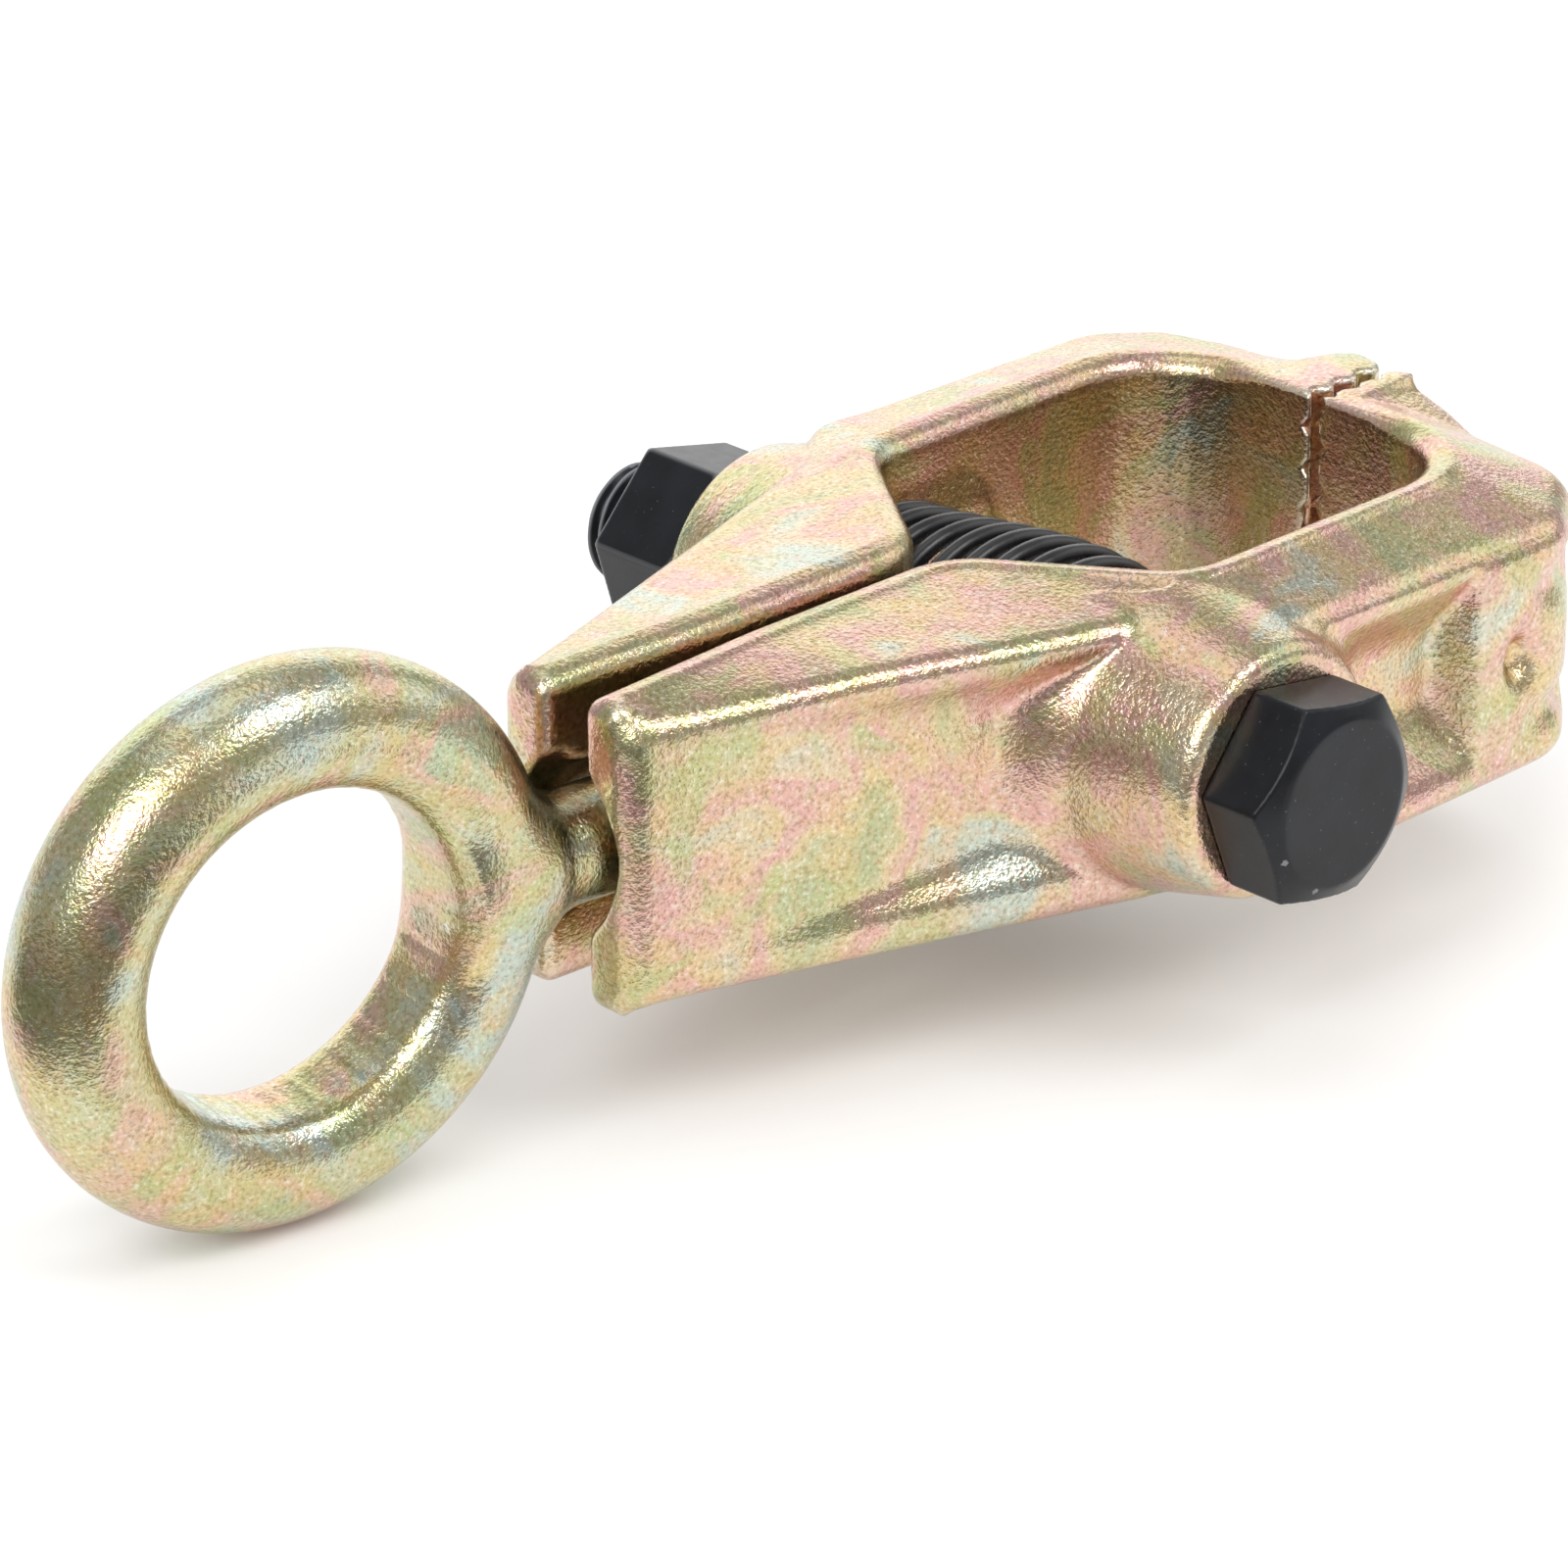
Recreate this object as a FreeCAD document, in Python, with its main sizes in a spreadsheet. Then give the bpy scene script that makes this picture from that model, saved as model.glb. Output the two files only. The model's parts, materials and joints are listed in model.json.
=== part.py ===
import FreeCAD, Part
import os
import Sketcher

# Self-tightening pull clamp for straightening sheet metal.
# Two forged jaws, each the mirror image of the other, hang on one bolt.  A coil
# spring keeps them apart, a nut sets how far they open, and a forged eye runs
# between their tails to a wedge-shaped head.
# Row frame: +X from the eye towards the jaw tips, +Y along the bolt from its
# head to its nut, +Z up.  The origin is the centre of the pull eye.

doc = FreeCAD.newDocument("pull_clamp")

SIZES = {
    # where the pieces lie: the eye pivots in the mouth between the jaw tails
    "eye_to_mouth": 52.4,
    "mouth_to_bolt": 88.0,
    "eye_above_jaw": -0.4,
    "eye_yaw": 7.2,
    "eye_pitch": 0.0,
    "eye_roll": 3.4,
    "bolt_drop": 1.0,
    # jaw outline: x is measured from the bolt, and y outwards from the mid-plane
    "jaw_height": 50.0,
    "shoulder_drop": 6.0,
    "shoulder_width": 8.0,
    "tail_x": 91.5,
    "tail_in_y": 4.0,
    "tail_out_y": 13.5,
    "tail_flat_x": 58.0,
    "tail_gap_y": 2.1,
    "shoulder_x": 32.0,
    "shoulder_y": 31.5,
    "hip_x": 5.0,
    "hip_y": 39.7,
    "arm_x": 8.0,
    "arm_y": 51.0,
    "corner_x": 69.0,
    "cheek_x": 85.0,
    "cheek_y": 38.0,
    "tip_out_x": 87.5,
    "tip_out_y": 7.0,
    "tip_x": 84.5,
    "tip_y": 0.75,
    "window_x": 67.5,
    "window_y": 32.0,
    "slope_x": 4.1,
    "nose_x": 16.7,
    "nose_round": 15.0,
    "slope_round": 10.0,
    "window_round": 17.0,
    "window_edge": 4.0,
    "tail_round": 5.5,
    "corner_round": 12.0,
    "cheek_round": 14.0,
    # recesses in the jaw's outer side
    "web_low": 13.5,
    "web_high": 15.0,
    "web_start_x": 75.0,
    "web_start_y": 18.6,
    "web_end_x": 14.0,
    "web_end_y": 30.8,
    "pocket_from_x": 12.0,
    "pocket_to_x": 46.0,
    "pocket_high": 12.5,
    "pocket_floor_y": 44.5,
    "dimple_x": 59.5,
    "dimple_z": -2.0,
    "dimple_depth": 3.0,
    "dimple_radius": 3.0,
    # boss, bolt hole and spring seat
    "boss_face_y": 55.5,
    "boss_face_radius": 19.5,
    "boss_root_y": 34.0,
    "boss_root_radius": 24.5,
    "boss_neck_y": 48.0,
    "boss_neck_radius": 21.2,
    "bolt_hole_radius": 11.2,
    "spring_seat_radius": 21.5,
    "spring_seat_y": 29.0,
    # cavity for the eye's shank and head
    "cavity_z": 0.0,
    "mouth_radius": 9.9,
    "throat_x": 75.0,
    "throat_radius": 10.6,
    "ramp_x": 61.0,
    "ramp_radius": 16.5,
    "cavity_end_x": 38.0,
    "cavity_end_radius": 18.3,
    "scallop_radius": 16.5,
    "scallop_length": 6.0,
    # teeth on the tip face
    "tooth_depth": 1.6,
    "tooth_pitch_x": 5.2,
    "tooth_pitch_z": 7.0,
    "groove_width": 4.2,
    "tooth_first_x": 69.8,
    "tooth_first_z": 22.9,
    "tooth_rows_x": 3,
    "tooth_rows_z": 7,
    # pull eye
    "ring_radius": 33.8,
    "bar_radius": 10.1,
    "eye_bore_radius": 25.6,
    "shank_radius": 8.6,
    "neck_start_x": 36.0,
    "neck_start_radius": 9.6,
    "neck_x": 42.0,
    "neck_radius": 9.4,
    "shank_start_x": 44.5,
    "head_start_x": 70.4,
    "head_full_x": 84.4,
    "head_radius": 12.0,
    "head_end_x": 92.4,
    "head_tip_x": 94.4,
    "head_tip_radius": 9.8,
    # bolt, nut and spring
    "hex_flats": 30.0,
    "head_thickness": 12.5,
    "bolt_radius": 10.0,
    "bolt_length": 140.0,
    "thread_end_chamfer": 2.0,
    "nut_thickness": 18.0,
    "nut_bore_radius": 10.05,
    "nut_gap": 0.3,
    "hex_chamfer": 1.4,
    "hex_face_inset": 0.6,
    "head_turn": 111.3,
    "nut_turn": 107.1,
    "wire_radius": 1.5,
    "coil_radius": 18.2,
    "coil_pitch": 4.6,
    "spring_gap": 0.3,
    # how far a cutting profile runs past the metal
    "overrun": 1.0,
}


def make_sheet():
    """Write the driving dimensions to the spreadsheet, one alias for each."""
    sheet = doc.addObject("Spreadsheet::Sheet", "Sizes")
    for row, (name, value) in enumerate(SIZES.items(), start=1):
        sheet.set(f"A{row}", name)
        sheet.set(f"B{row}", str(value))
        sheet.setAlias(f"B{row}", name)
    doc.recompute()
    return sheet


def size(name):
    return float(sheet.get(name))


def new_body(label):
    body = doc.addObject("PartDesign::Body", label)
    body.Label = label
    return body


def plane(body, role):
    """One of the body's own origin planes or axes, such as XY_Plane."""
    return next(f for f in body.Origin.OriginFeatures if f.Role == role)


def new_sketch(body, name, role, offset=None):
    """A sketch on an origin plane, lifted off it by the expression offset."""
    sketch = body.newObject("Sketcher::SketchObject", name)
    sketch.AttachmentSupport = [(plane(body, role), "")]
    sketch.MapMode = "FlatFace"
    if offset:
        sketch.setExpression("AttachmentOffset.Base.z", offset)
    return sketch


def pin_point(sketch, geometry, position, across, up):
    """Fix one point of a sketch at two sheet expressions."""
    for kind, text in (("DistanceX", across), ("DistanceY", up)):
        value = doc_value(text)
        if abs(value) < 1e-9:
            axis = -2 if kind == "DistanceX" else -1
            sketch.addConstraint(Sketcher.Constraint("PointOnObject", geometry, position, axis))
            continue
        first, second = (-1, 1, geometry, position), (geometry, position, -1, 1)
        ends = first if value > 0 else second
        index = sketch.addConstraint(Sketcher.Constraint(kind, *ends, abs(value)))
        sketch.setExpression(f"Constraints[{index}]", text if value > 0 else f"-({text})")


def doc_value(text):
    """The number that a sheet expression gives."""
    value = sheet.evalExpression(text.replace("Sizes.", ""))
    return float(getattr(value, "Value", value))


def polygon(sketch, points):
    """A closed outline of straight lines, each corner at two sheet expressions."""
    corners = [FreeCAD.Vector(doc_value(a), doc_value(b), 0) for a, b in points]
    count = len(corners)
    for i in range(count):
        sketch.addGeometry(Part.LineSegment(corners[i], corners[(i + 1) % count]))
    for i in range(count):
        sketch.addConstraint(Sketcher.Constraint("Coincident", i, 2, (i + 1) % count, 1))
    for i, (across, up) in enumerate(points):
        pin_point(sketch, i, 1, across, up)


def circle(sketch, across, up, radius):
    """A circle whose centre and radius are sheet expressions."""
    centre = FreeCAD.Vector(doc_value(across), doc_value(up), 0)
    index = sketch.addGeometry(Part.Circle(centre, FreeCAD.Vector(0, 0, 1), doc_value(radius)))
    pin_point(sketch, index, 3, across, up)
    number = sketch.addConstraint(Sketcher.Constraint("Radius", index, doc_value(radius)))
    sketch.setExpression(f"Constraints[{number}]", radius)


def feature(body, kind, name, sketch=None, **values):
    """Add a feature; text values become sheet expressions."""
    item = body.newObject(kind, name)
    if sketch is not None:
        item.Profile = sketch
        sketch.Visibility = False
    for key, value in values.items():
        if isinstance(value, str) and "Sizes." in value:
            item.setExpression(key, value)
        else:
            setattr(item, key, value)
    body.Tip = item
    return item


def must_change(before, item, sign):
    """Stop if a feature adds or removes nothing."""
    doc.recompute()
    change = (item.Shape.Volume - before.Shape.Volume) * sign
    if change <= 0.01:
        raise RuntimeError(f"{item.Name} has no effect")
    return item


def cut(body, name, sketch, kind="PartDesign::Pocket", **values):
    doc.recompute()
    before = body.Tip
    return must_change(before, feature(body, kind, name, sketch, **values), -1)


def upright_edges(shape, x, y):
    """Names of the edges parallel to Z that stand over the point x, y."""
    names = []
    for number, edge in enumerate(shape.Edges, start=1):
        ends = [v.Point for v in edge.Vertexes]
        if len(ends) == 2 and all(abs(p.x - x) < 0.01 and abs(p.y - y) < 0.01 for p in ends):
            names.append(f"Edge{number}")
    return names


def round_edges(body, name, names, radius):
    before = body.Tip
    item = body.newObject("PartDesign::Fillet", name)
    item.Base = (before, names)
    item.setExpression("Radius", radius)
    body.Tip = item
    doc.recompute()
    if not names or "Invalid" in item.State:
        raise RuntimeError(f"{name} failed on {len(names)} edges: {item.getStatusString()}")
    return item


# Jaw outline: along the outer side from tail to tip, then back along the inner side.
# Each corner is (x, y) in a jaw that opens towards +Y, so outwards is -Y.
JAW_OUTER = [
    ("-Sizes.tail_x", "-Sizes.tail_out_y"),
    ("-Sizes.shoulder_x", "-Sizes.shoulder_y"),
    ("-Sizes.hip_x", "-Sizes.hip_y"),
    ("Sizes.arm_x", "-Sizes.arm_y"),
    ("Sizes.corner_x", "-Sizes.arm_y"),
    ("Sizes.cheek_x", "-Sizes.cheek_y"),
    ("Sizes.tip_out_x", "-Sizes.tip_out_y"),
    ("Sizes.tip_x", "-Sizes.tip_y"),
]
JAW_INNER = [
    ("Sizes.window_x", "-Sizes.tip_y"),
    ("Sizes.window_x", "-Sizes.window_y"),
    ("Sizes.slope_x", "-Sizes.window_y"),
    ("-Sizes.nose_x", "-Sizes.tail_gap_y"),
    ("-Sizes.tail_flat_x", "-Sizes.tail_gap_y"),
    ("-Sizes.tail_x", "-Sizes.tail_in_y"),
]


def jaw_blank(body):
    """The forging's outside: a slab of the jaw's outline."""
    outline = new_sketch(body, "Outline", "XY_Plane")
    polygon(outline, JAW_OUTER + JAW_INNER)
    feature(body, "PartDesign::Pad", "Slab", outline, Length="Sizes.jaw_height", Midplane=True)
    doc.recompute()


def level_edges(shape, corners):
    """Names of the edges of the top and bottom faces that join these corners."""
    spots = [FreeCAD.Vector(doc_value(x), doc_value(y), 0) for x, y in corners]
    high = size("jaw_height") / 2
    names = []
    for number, edge in enumerate(shape.Edges, start=1):
        ends = [v.Point for v in edge.Vertexes]
        if len(ends) != 2 or abs(edge.CenterOfMass.z) < high - 0.01:
            continue
        flat = [FreeCAD.Vector(p.x, p.y, 0) for p in ends]
        if all(any((p - spot).Length < 0.01 for spot in spots) for p in flat):
            names.append(f"Edge{number}")
    return names


def jaw_shoulders(body):
    """The sloping shoulders along the outer side, above and below."""
    slab = body.Tip
    chamfer = body.newObject("PartDesign::Chamfer", "Shoulders")
    chamfer.Base = (slab, level_edges(slab.Shape, JAW_OUTER[:-1]))
    chamfer.ChamferType = "Two distances"
    chamfer.setExpression("Size", "Sizes.shoulder_drop")
    chamfer.setExpression("Size2", "Sizes.shoulder_width")
    body.Tip = chamfer
    doc.recompute()


def jaw_inner_rounds(body):
    """The rounded corners of the window and the nose."""
    for name, x, y, radius in (
        ("NoseRound", -size("nose_x"), -size("tail_gap_y"), "Sizes.nose_round"),
        ("SlopeRound", size("slope_x"), -size("window_y"), "Sizes.slope_round"),
        ("WindowRound", size("window_x"), -size("window_y"), "Sizes.window_round"),
    ):
        round_edges(body, name, upright_edges(body.Tip.Shape, x, y), radius)


def jaw_outer_rounds(body):
    """The rounded corners of the tail end and of the arm's outer side."""
    for name, x, y, radius in (
        ("TailRound", -size("tail_x"), -size("tail_out_y"), "Sizes.tail_round"),
        ("CornerRound", size("corner_x"), -size("arm_y"), "Sizes.corner_round"),
        ("CheekRound", size("cheek_x"), -size("cheek_y"), "Sizes.cheek_round"),
    ):
        round_edges(body, name, upright_edges(body.Tip.Shape, x, y), radius)


def is_upright(face):
    u0, u1, v0, v1 = face.ParameterRange
    return abs(face.normalAt((u0 + u1) / 2, (v0 + v1) / 2).z) < 0.001


def jaw_window_edge(body):
    """The rounded upper and lower edges of the window and the tail gap."""
    shape = body.Tip.Shape
    high = size("jaw_height") / 2
    names = []
    for number, edge in enumerate(shape.Edges, start=1):
        middle = edge.CenterOfMass
        level = all(abs(abs(v.Z) - high) < 0.01 for v in edge.Vertexes)
        if not level or abs(abs(middle.z) - high) > 0.01:
            continue
        between_ends = -size("tail_x") + 1 < middle.x < size("window_x") + 0.1
        upright = any(is_upright(face) for face in shape.ancestorsOfType(edge, Part.Face))
        if between_ends and upright:
            names.append(f"Edge{number}")
    round_edges(body, "WindowEdge", names, "Sizes.window_edge")


def jaw_recesses(body):
    """The panel recess along the tail, and the pocket beyond the boss."""
    panel = new_sketch(body, "PanelRecess", "XY_Plane", "(Sizes.web_high - Sizes.web_low) / 2")
    polygon(panel, [
        ("-Sizes.web_start_x", "-Sizes.web_start_y"),
        ("-Sizes.web_end_x", "-Sizes.web_end_y"),
        ("-Sizes.web_end_x", "-Sizes.boss_face_y"),
        ("-Sizes.web_start_x", "-Sizes.boss_face_y"),
    ])
    cut(body, "PanelCut", panel, Length="Sizes.web_low + Sizes.web_high", Midplane=True)
    pocket = new_sketch(body, "ArmPocket", "XZ_Plane", "Sizes.pocket_floor_y")
    polygon(pocket, [
        ("Sizes.pocket_from_x", "-Sizes.web_low"),
        ("Sizes.pocket_to_x", "-Sizes.web_low"),
        ("Sizes.pocket_to_x", "Sizes.pocket_high"),
        ("Sizes.pocket_from_x", "Sizes.pocket_high"),
    ])
    cut(body, "PocketCut", pocket, Length="Sizes.boss_face_y", Reversed=True)


def jaw_boss(body):
    """The bell-shaped boss that the bolt's head or nut bears on."""
    profile = new_sketch(body, "BossProfile", "XY_Plane")
    polygon(profile, [
        ("0", "-Sizes.window_y"),
        ("Sizes.boss_root_radius", "-Sizes.boss_root_y"),
        ("Sizes.boss_neck_radius", "-Sizes.boss_neck_y"),
        ("Sizes.boss_face_radius", "-Sizes.boss_face_y"),
        ("0", "-Sizes.boss_face_y"),
    ])
    boss = feature(body, "PartDesign::Revolution", "Boss", profile, Angle=360.0)
    boss.ReferenceAxis = (plane(body, "Y_Axis"), [""])
    doc.recompute()


def jaw_bolt_hole(body):
    hole = new_sketch(body, "BoltHole", "XZ_Plane")
    circle(hole, "0", "0", "Sizes.bolt_hole_radius")
    cut(body, "BoltHoleCut", hole, Length="Sizes.boss_face_y + Sizes.overrun", Reversed=True)
    seat = new_sketch(body, "SpringSeat", "XZ_Plane")
    circle(seat, "0", "0", "Sizes.spring_seat_radius")
    cut(body, "SpringSeatCut", seat, Length="Sizes.spring_seat_y", Reversed=True)


def jaw_cavity(body):
    """The half cavity in the tail for the eye's shank and its wedge head."""
    half = new_sketch(body, "CavityProfile", "XY_Plane", "Sizes.cavity_z")
    polygon(half, [
        ("-Sizes.tail_x - Sizes.overrun", "0"),
        ("-Sizes.tail_x - Sizes.overrun", "-Sizes.mouth_radius"),
        ("-Sizes.throat_x", "-Sizes.throat_radius"),
        ("-Sizes.ramp_x", "-Sizes.ramp_radius"),
        ("-Sizes.cavity_end_x", "-Sizes.cavity_end_radius"),
        ("-Sizes.cavity_end_x", "0"),
    ])
    before = body.Tip
    groove = feature(body, "PartDesign::Groove", "Cavity", half, Angle=360.0)
    groove.ReferenceAxis = (half, ["Edge6"])
    must_change(before, groove, -1)
    mouth = new_sketch(body, "Mouth", "YZ_Plane", "-Sizes.tail_x - Sizes.overrun")
    circle(mouth, "Sizes.scallop_radius - Sizes.mouth_radius", "Sizes.cavity_z", "Sizes.scallop_radius")
    cut(body, "MouthCut", mouth, Length="Sizes.scallop_length + Sizes.overrun", Reversed=True)


def jaw_teeth(body):
    """Crossing V grooves that leave pyramid teeth on the tip face."""
    across = new_sketch(body, "GrooveAlongZ", "XY_Plane")
    polygon(across, [
        ("Sizes.tooth_first_x - Sizes.groove_width / 2", "-Sizes.tip_y"),
        ("Sizes.tooth_first_x", "-Sizes.tip_y - Sizes.tooth_depth"),
        ("Sizes.tooth_first_x + Sizes.groove_width / 2", "-Sizes.tip_y"),
    ])
    first = cut(body, "GrooveX", across, Length="Sizes.jaw_height", Midplane=True)
    repeat(body, "GroovesX", first, "X_Axis", "Sizes.tooth_pitch_x", "Sizes.tooth_rows_x")
    along = new_sketch(body, "GrooveAlongX", "YZ_Plane", "Sizes.window_x - Sizes.overrun")
    polygon(along, [
        ("-Sizes.tip_y", "Sizes.tooth_first_z - Sizes.groove_width / 2"),
        ("-Sizes.tip_y - Sizes.tooth_depth", "Sizes.tooth_first_z"),
        ("-Sizes.tip_y", "Sizes.tooth_first_z + Sizes.groove_width / 2"),
    ])
    first = cut(body, "GrooveZ", along, Length="Sizes.tip_out_x - Sizes.window_x + 2 * Sizes.overrun", Reversed=True)
    repeat(body, "GroovesZ", first, "Z_Axis", "Sizes.tooth_pitch_z", "Sizes.tooth_rows_z", True)


def repeat(body, name, first, axis, pitch, count, back=False):
    """Repeat one cut in a row along an origin axis."""
    before = body.Tip
    row = feature(body, "PartDesign::LinearPattern", name)
    row.Originals = [first]
    row.Direction = (plane(body, axis), [""])
    row.Mode = "Spacing"
    row.Reversed = back
    row.setExpression("Offset", pitch)
    row.setExpression("Occurrences", count)
    must_change(before, row, -1)


def jaw_dimple(body):
    spot = new_sketch(body, "Dimple", "XZ_Plane", "Sizes.arm_y - Sizes.dimple_depth")
    circle(spot, "Sizes.dimple_x", "Sizes.dimple_z", "Sizes.dimple_radius")
    cut(body, "DimpleCut", spot, Length="Sizes.dimple_depth + Sizes.overrun", Reversed=True)


def make_jaw(label):
    body = new_body(label)
    jaw_blank(body)
    jaw_shoulders(body)
    jaw_inner_rounds(body)
    jaw_outer_rounds(body)
    jaw_window_edge(body)
    jaw_recesses(body)
    jaw_boss(body)
    jaw_bolt_hole(body)
    jaw_cavity(body)
    jaw_teeth(body)
    jaw_dimple(body)
    return body


def make_eye():
    """The forged eye: ring, neck, shank and the wedge head inside the tails."""
    body = new_body("pull_eye")
    bar = new_sketch(body, "BarSection", "XY_Plane")
    circle(bar, "Sizes.ring_radius", "0", "Sizes.bar_radius")
    ring = feature(body, "PartDesign::Revolution", "Ring", bar, Angle=360.0)
    ring.ReferenceAxis = (plane(body, "Y_Axis"), [""])
    stem = new_sketch(body, "StemProfile", "XY_Plane")
    polygon(stem, [
        ("Sizes.neck_start_x", "0"),
        ("Sizes.neck_start_x", "Sizes.neck_start_radius"),
        ("Sizes.neck_x", "Sizes.neck_radius"),
        ("Sizes.shank_start_x", "Sizes.shank_radius"),
        ("Sizes.head_start_x", "Sizes.shank_radius"),
        ("Sizes.head_full_x", "Sizes.head_radius"),
        ("Sizes.head_end_x", "Sizes.head_radius"),
        ("Sizes.head_tip_x", "Sizes.head_tip_radius"),
        ("Sizes.head_tip_x", "0"),
    ])
    turned = feature(body, "PartDesign::Revolution", "Stem", stem, Angle=360.0)
    turned.ReferenceAxis = (plane(body, "X_Axis"), [""])
    doc.recompute()
    bore = new_sketch(body, "Bore", "XZ_Plane")
    circle(bore, "0", "0", "Sizes.eye_bore_radius")
    cut(body, "BoreCut", bore, Length="4 * Sizes.bar_radius", Midplane=True)
    return body


def hexagon(sketch, turn):
    """A hexagon of the sheet's width across flats, its first corner at the angle turn."""
    corners = []
    for step in range(6):
        angle = f"({turn} + {60 * step})"
        reach = "Sizes.hex_flats / 2 / cos(30)"
        corners.append((f"{reach} * cos{angle}", f"{reach} * sin{angle}"))
    polygon(sketch, corners)


def hex_chamfer(body, name, face_y):
    """Turn the corners of a hexagon down where its face is at y = face_y."""
    rim = new_sketch(body, name, "XY_Plane")
    corner = "Sizes.hex_flats / 2 / cos(30) + Sizes.overrun"
    polygon(rim, [
        ("Sizes.hex_flats / 2 - Sizes.hex_face_inset", face_y),
        (corner, face_y),
        (corner, f"{face_y} + Sizes.hex_chamfer"),
    ])
    before = body.Tip
    groove = feature(body, "PartDesign::Groove", name + "Cut", rim, Angle=360.0)
    groove.ReferenceAxis = (plane(body, "Y_Axis"), [""])
    must_change(before, groove, -1)


def make_bolt():
    """The hexagon bolt that both jaws hang on."""
    body = new_body("clamp_bolt")
    head = new_sketch(body, "HeadHexagon", "XZ_Plane", "Sizes.boss_face_y")
    hexagon(head, "Sizes.head_turn")
    feature(body, "PartDesign::Pad", "Head", head, Length="Sizes.head_thickness")
    shank = new_sketch(body, "ShankCircle", "XZ_Plane", "Sizes.boss_face_y")
    circle(shank, "0", "0", "Sizes.bolt_radius")
    feature(body, "PartDesign::Pad", "Shank", shank, Length="Sizes.bolt_length", Reversed=True)
    doc.recompute()
    hex_chamfer(body, "HeadChamfer", "-Sizes.boss_face_y - Sizes.head_thickness")
    end_y = "Sizes.bolt_length - Sizes.boss_face_y"
    tip = new_sketch(body, "ThreadEnd", "XY_Plane")
    polygon(tip, [
        ("Sizes.bolt_radius - Sizes.thread_end_chamfer", end_y),
        ("Sizes.bolt_radius + Sizes.overrun", end_y),
        ("Sizes.bolt_radius + Sizes.overrun", f"{end_y} - Sizes.thread_end_chamfer - Sizes.overrun"),
    ])
    before = body.Tip
    groove = feature(body, "PartDesign::Groove", "ThreadEndCut", tip, Angle=360.0)
    groove.ReferenceAxis = (plane(body, "Y_Axis"), [""])
    must_change(before, groove, -1)
    return body


def make_nut():
    """The hexagon nut: its turned side faces the jaw and its flat side the thread's end."""
    body = new_body("clamp_nut")
    inner_y = "Sizes.boss_face_y + Sizes.nut_gap"
    blank = new_sketch(body, "NutHexagon", "XZ_Plane", f"-({inner_y})")
    hexagon(blank, "Sizes.nut_turn")
    feature(body, "PartDesign::Pad", "Blank", blank, Length="Sizes.nut_thickness", Reversed=True)
    doc.recompute()
    hex_chamfer(body, "NutChamfer", inner_y)
    bore = new_sketch(body, "ThreadBore", "XZ_Plane", f"-({inner_y})")
    circle(bore, "0", "0", "Sizes.nut_bore_radius")
    cut(body, "ThreadBoreCut", bore, Length="Sizes.nut_thickness")
    return body


def make_spring():
    """The compression spring round the bolt between the two jaws."""
    body = new_body("jaw_spring")
    wire = new_sketch(body, "WireSection", "XY_Plane")
    start_y = "-Sizes.spring_seat_y + Sizes.spring_gap + Sizes.wire_radius"
    circle(wire, "Sizes.coil_radius", start_y, "Sizes.wire_radius")
    coil = body.newObject("PartDesign::AdditiveHelix", "Coil")
    coil.Profile = wire
    coil.ReferenceAxis = (plane(body, "Y_Axis"), [""])
    coil.Mode = "pitch-height-angle"
    coil.setExpression("Pitch", "Sizes.coil_pitch")
    coil.setExpression("Height", "2 * (Sizes.spring_seat_y - Sizes.spring_gap - Sizes.wire_radius)")
    body.Tip = coil
    doc.recompute()
    return body


def place(item, base, rotation=FreeCAD.Rotation()):
    item.Placement = FreeCAD.Placement(base, rotation)


def check():
    """Stop before anything is written if an object failed or a shape is bad."""
    for item in doc.Objects:
        if "Invalid" in item.State or "Error" in item.State:
            raise RuntimeError(f"{item.Name} is {item.State}")
    for item in PIECES:
        if item.Shape.isNull() or not item.Shape.isValid():
            raise RuntimeError(f"{item.Label} has a bad shape")


sheet = make_sheet()

eye_turn = FreeCAD.Rotation(-size("eye_yaw"), size("eye_pitch"), size("eye_roll"))
mouth = eye_turn.multVec(FreeCAD.Vector(size("eye_to_mouth"), 0, 0))
jaw_centre = mouth + FreeCAD.Vector(size("mouth_to_bolt"), 0, -size("eye_above_jaw"))
bolt_centre = jaw_centre - FreeCAD.Vector(0, 0, size("bolt_drop"))

pull_eye = make_eye()
place(pull_eye, FreeCAD.Vector(), eye_turn)

front_jaw = make_jaw("front_jaw")
place(front_jaw, jaw_centre)

rear_jaw = doc.addObject("Part::Mirroring", "rear_jaw")
rear_jaw.Label = "rear_jaw"
rear_jaw.Source = front_jaw
rear_jaw.Base = jaw_centre
rear_jaw.Normal = (0, 1, 0)

clamp_bolt = make_bolt()
clamp_nut = make_nut()
jaw_spring = make_spring()
for piece in (clamp_bolt, clamp_nut, jaw_spring):
    place(piece, bolt_centre)

doc.recompute()
PIECES = [front_jaw, rear_jaw, pull_eye, clamp_bolt, clamp_nut, jaw_spring]
check()

os.makedirs("parts", exist_ok=True)
for piece in PIECES:
    piece.Shape.exportStep(f"parts/{piece.Label}.step")
    print(piece.Label, round(piece.Shape.Volume), piece.Shape.BoundBox)
print("bolt centre", bolt_centre)
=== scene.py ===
import json
import math

import bpy
import numpy as np
import openvdb
from mathutils import Matrix, Vector


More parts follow.
